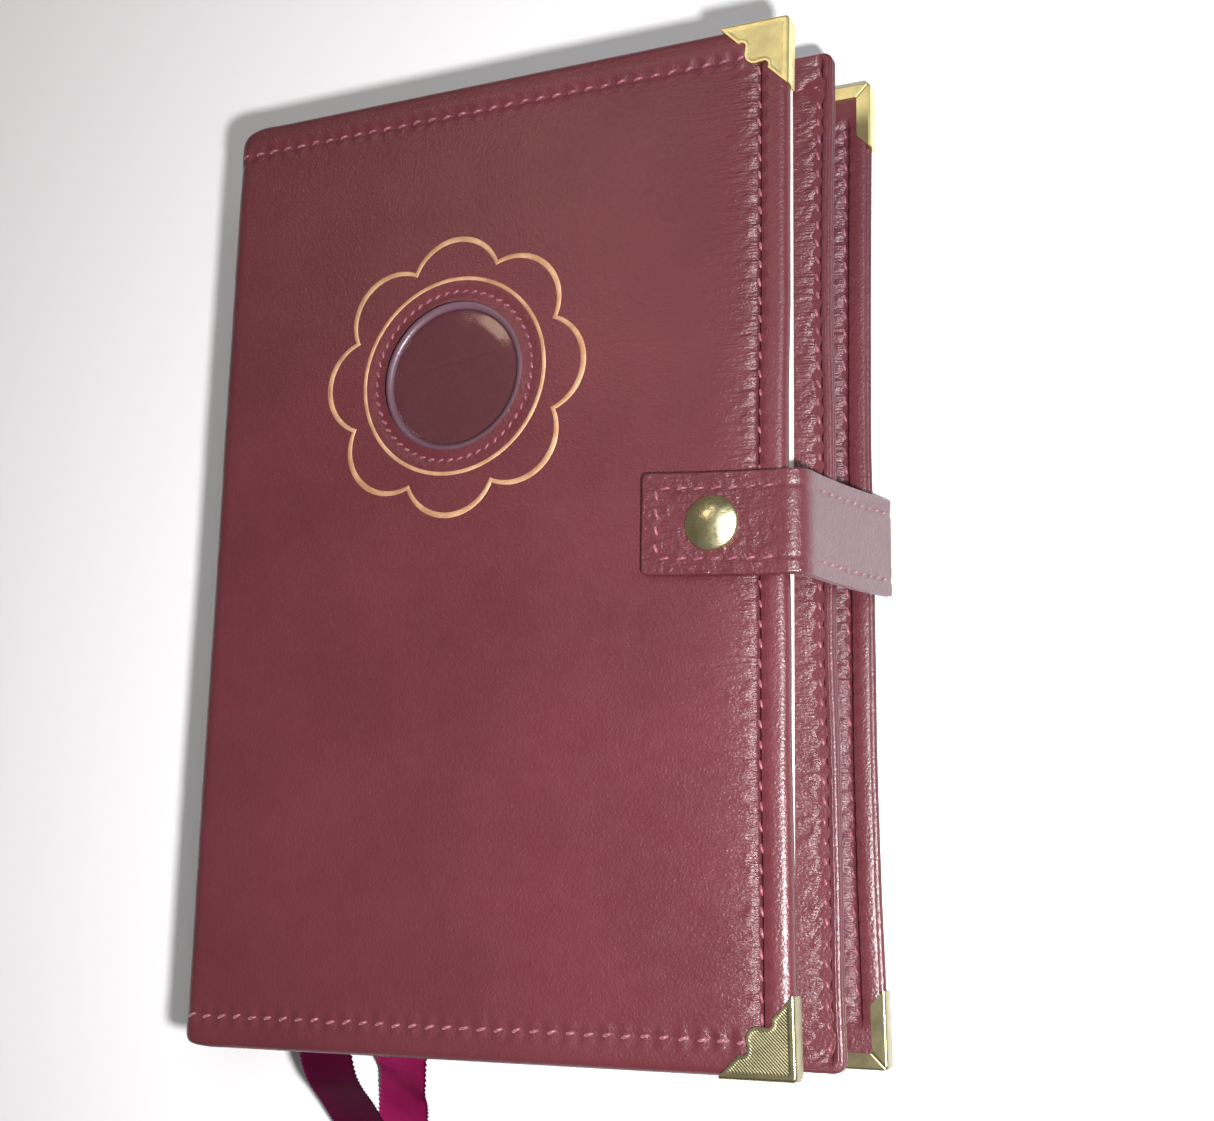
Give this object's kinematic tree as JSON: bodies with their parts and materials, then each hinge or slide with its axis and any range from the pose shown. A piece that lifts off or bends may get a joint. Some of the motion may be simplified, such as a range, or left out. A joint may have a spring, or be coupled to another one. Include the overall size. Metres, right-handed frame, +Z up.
{
  "type": "double book case",
  "caption": "Soft leather case holding two books, with a hinged middle divider, window pocket, brass corners, ribbons and press-stud strap.",
  "frame": {"origin": "centre of the bounding box's underside, the two ribbons left out, with the closed case lying on its back panel", "axes": "+X from the spine to the fore-edge, +Y from the tail to the head, +Z up through the front panel"},
  "size_m": [0.1554, 0.298, 0.0446],
  "materials": {
    "burgundy_leather": "satin",
    "strap_leather": "satin",
    "stiffener_board": "matte",
    "lining_cloth": "matte",
    "stitch_thread": "satin",
    "brass_corner": "satin",
    "snap_brass": "polished",
    "cover_card": "matte",
    "page_paper": "matte",
    "ribbon_wine": "satin",
    "ribbon_magenta": "satin",
    "clear_vinyl": "gloss",
    "vinyl_bead": "gloss",
    "gold_foil": "satin"
  },
  "bodies": {
    "back_panel": {"back_leather": "burgundy_leather", "back_board": "stiffener_board", "back_lining": "lining_cloth", "back_pocket": "burgundy_leather", "back_stitching": "stitch_thread", "back_corner_head": "brass_corner", "back_corner_tail": "brass_corner", "spine_leather_lower": "burgundy_leather", "strap_anchor": "strap_leather", "book_2_back_cover": "cover_card", "book_2_spine": "cover_card", "book_2_text_block": "page_paper", "ribbon_2": "ribbon_magenta"},
    "book_2_leaf_stack": {"book_2_leaves": "page_paper"},
    "divider_panel": {"divider_leather_lower": "burgundy_leather", "divider_board": "stiffener_board", "divider_leather_upper": "burgundy_leather", "divider_pocket_lower": "burgundy_leather", "divider_pocket_upper": "burgundy_leather", "divider_stitching": "stitch_thread", "spine_leather_upper": "burgundy_leather", "book_2_front_cover": "cover_card", "book_1_back_cover": "cover_card", "book_1_spine": "cover_card", "book_1_text_block": "page_paper", "ribbon_1": "ribbon_wine"},
    "book_1_leaf_stack": {"book_1_leaves": "page_paper"},
    "front_panel": {"front_leather": "burgundy_leather", "front_board": "stiffener_board", "front_lining": "lining_cloth", "front_pocket": "burgundy_leather", "front_stitching": "stitch_thread", "book_1_front_cover": "cover_card", "front_corner_head": "brass_corner", "front_corner_tail": "brass_corner", "window_film": "clear_vinyl", "window_ring": "vinyl_bead", "window_stitching": "stitch_thread", "medallion_backing": "lining_cloth", "front_ornament": "gold_foil", "snap_stud": "snap_brass"},
    "strap_band": {"strap_band_outer": "strap_leather", "strap_band_lining": "strap_leather"},
    "strap_tab": {"strap_tab_outer": "strap_leather", "strap_tab_lining": "strap_leather", "strap_stitching": "stitch_thread", "snap_cap": "snap_brass", "snap_socket": "snap_brass"}
  },
  "joints": [
    {"name": "divider_hinge", "type": "hinge", "parent": "back_panel", "child": "divider_panel", "pos_m": [-0.07775, 0, 0.0184], "axis": [0, -1, 0], "range_deg": [0, 170]},
    {"name": "front_hinge", "type": "hinge", "parent": "divider_panel", "child": "front_panel", "pos_m": [-0.07775, 0, 0.04], "axis": [0, -1, 0], "range_deg": [0, 175]},
    {"name": "book_2_leaf_hinge", "type": "hinge", "parent": "back_panel", "child": "book_2_leaf_stack", "pos_m": [-0.07475, 0, 0.0182], "axis": [0, -1, 0], "range_deg": [0, 95]},
    {"name": "book_1_leaf_hinge", "type": "hinge", "parent": "divider_panel", "child": "book_1_leaf_stack", "pos_m": [-0.07475, 0, 0.0357], "axis": [0, -1, 0], "range_deg": [0, 97]},
    {"name": "strap_root_hinge", "type": "hinge", "parent": "back_panel", "child": "strap_band", "pos_m": [0.07675, 0, 0.0013], "axis": [0, 1, 0], "range_deg": [0, 85]},
    {"name": "strap_tab_hinge", "type": "hinge", "parent": "strap_band", "child": "strap_tab", "pos_m": [0.06965, 0, 0.0414], "axis": [0, 1, 0], "range_deg": [0, 75]}
  ],
  "couplings": [
    {"joint": "book_2_leaf_hinge", "follows": "divider_hinge", "ratio": 0.55},
    {"joint": "book_1_leaf_hinge", "follows": "front_hinge", "ratio": 0.55}
  ]
}
